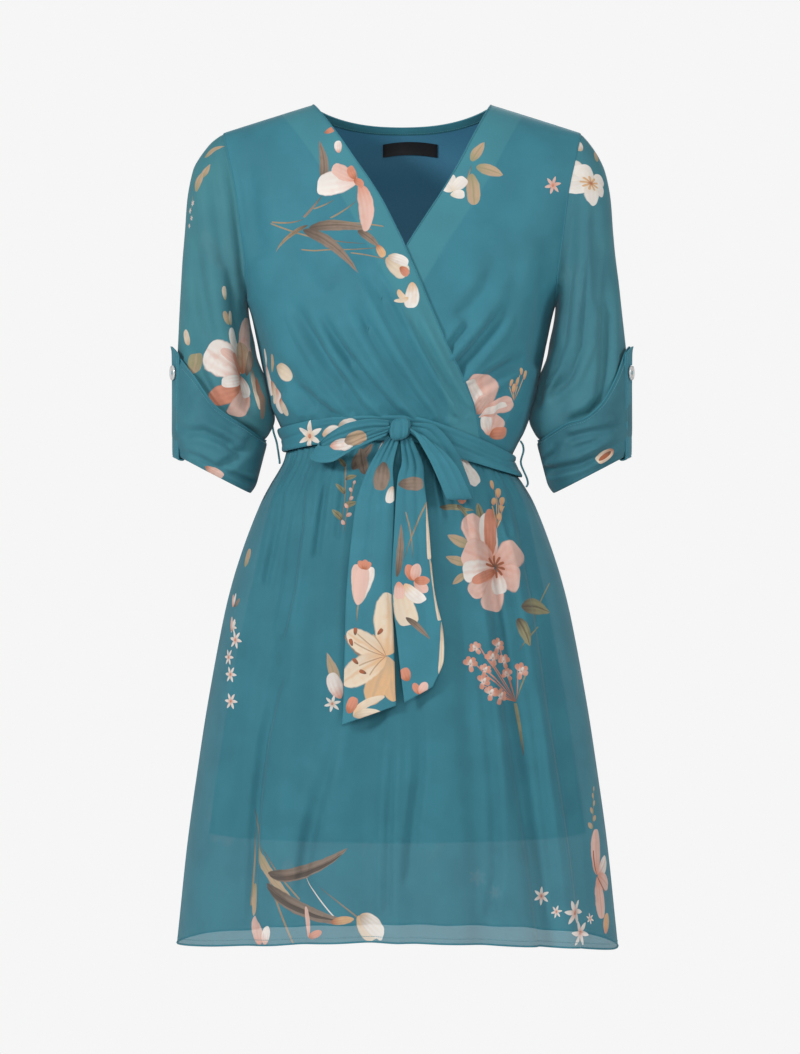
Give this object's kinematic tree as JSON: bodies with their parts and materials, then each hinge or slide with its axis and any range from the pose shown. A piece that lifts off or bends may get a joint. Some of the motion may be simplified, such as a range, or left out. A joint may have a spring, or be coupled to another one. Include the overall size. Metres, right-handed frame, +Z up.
{
  "type": "wrap dress",
  "caption": "Short wrap dress with V neck, turned-up tabbed sleeves, a sash tied in a bow and a gathered lined skirt, hollow as if worn.",
  "frame": {"origin": "the nape: middle of the back neck edge, where the dress hangs on the wearer's shoulders", "axes": "+Z up, the front faces -Y, the wearer's right side is at -X"},
  "size_m": [0.5052, 0.2993, 0.9001],
  "materials": {
    "printed_chiffon": "matt chiffon with a slight sheen, teal with a flower print",
    "lining": "plain darker teal lining, slightly smoother",
    "label_satin": "black satin ribbon, blank",
    "button_pearl": "glossy pearl grey"
  },
  "bodies": {
    "root": {"bodice_front_right": "printed_chiffon", "bodice_front_left": "printed_chiffon", "bodice_back": "printed_chiffon", "bodice_back_lining": "lining", "neck_binding": "printed_chiffon", "back_neck_label": "label_satin", "sleeve_right": "printed_chiffon", "cuff_right": "printed_chiffon", "tab_right": "printed_chiffon", "tab_button_right": "button_pearl", "sleeve_left": "printed_chiffon", "cuff_left": "printed_chiffon", "tab_left": "printed_chiffon", "tab_button_left": "button_pearl", "skirt_front": "printed_chiffon", "skirt_back": "printed_chiffon", "skirt_lining": "lining", "sash": "printed_chiffon", "sash_knot": "printed_chiffon", "bow_loop_right": "printed_chiffon", "bow_loop_left": "printed_chiffon", "sash_tail_right": "printed_chiffon", "sash_tail_left": "printed_chiffon", "sash_carrier_right": "printed_chiffon", "sash_carrier_left": "printed_chiffon"}
  },
  "joints": []
}
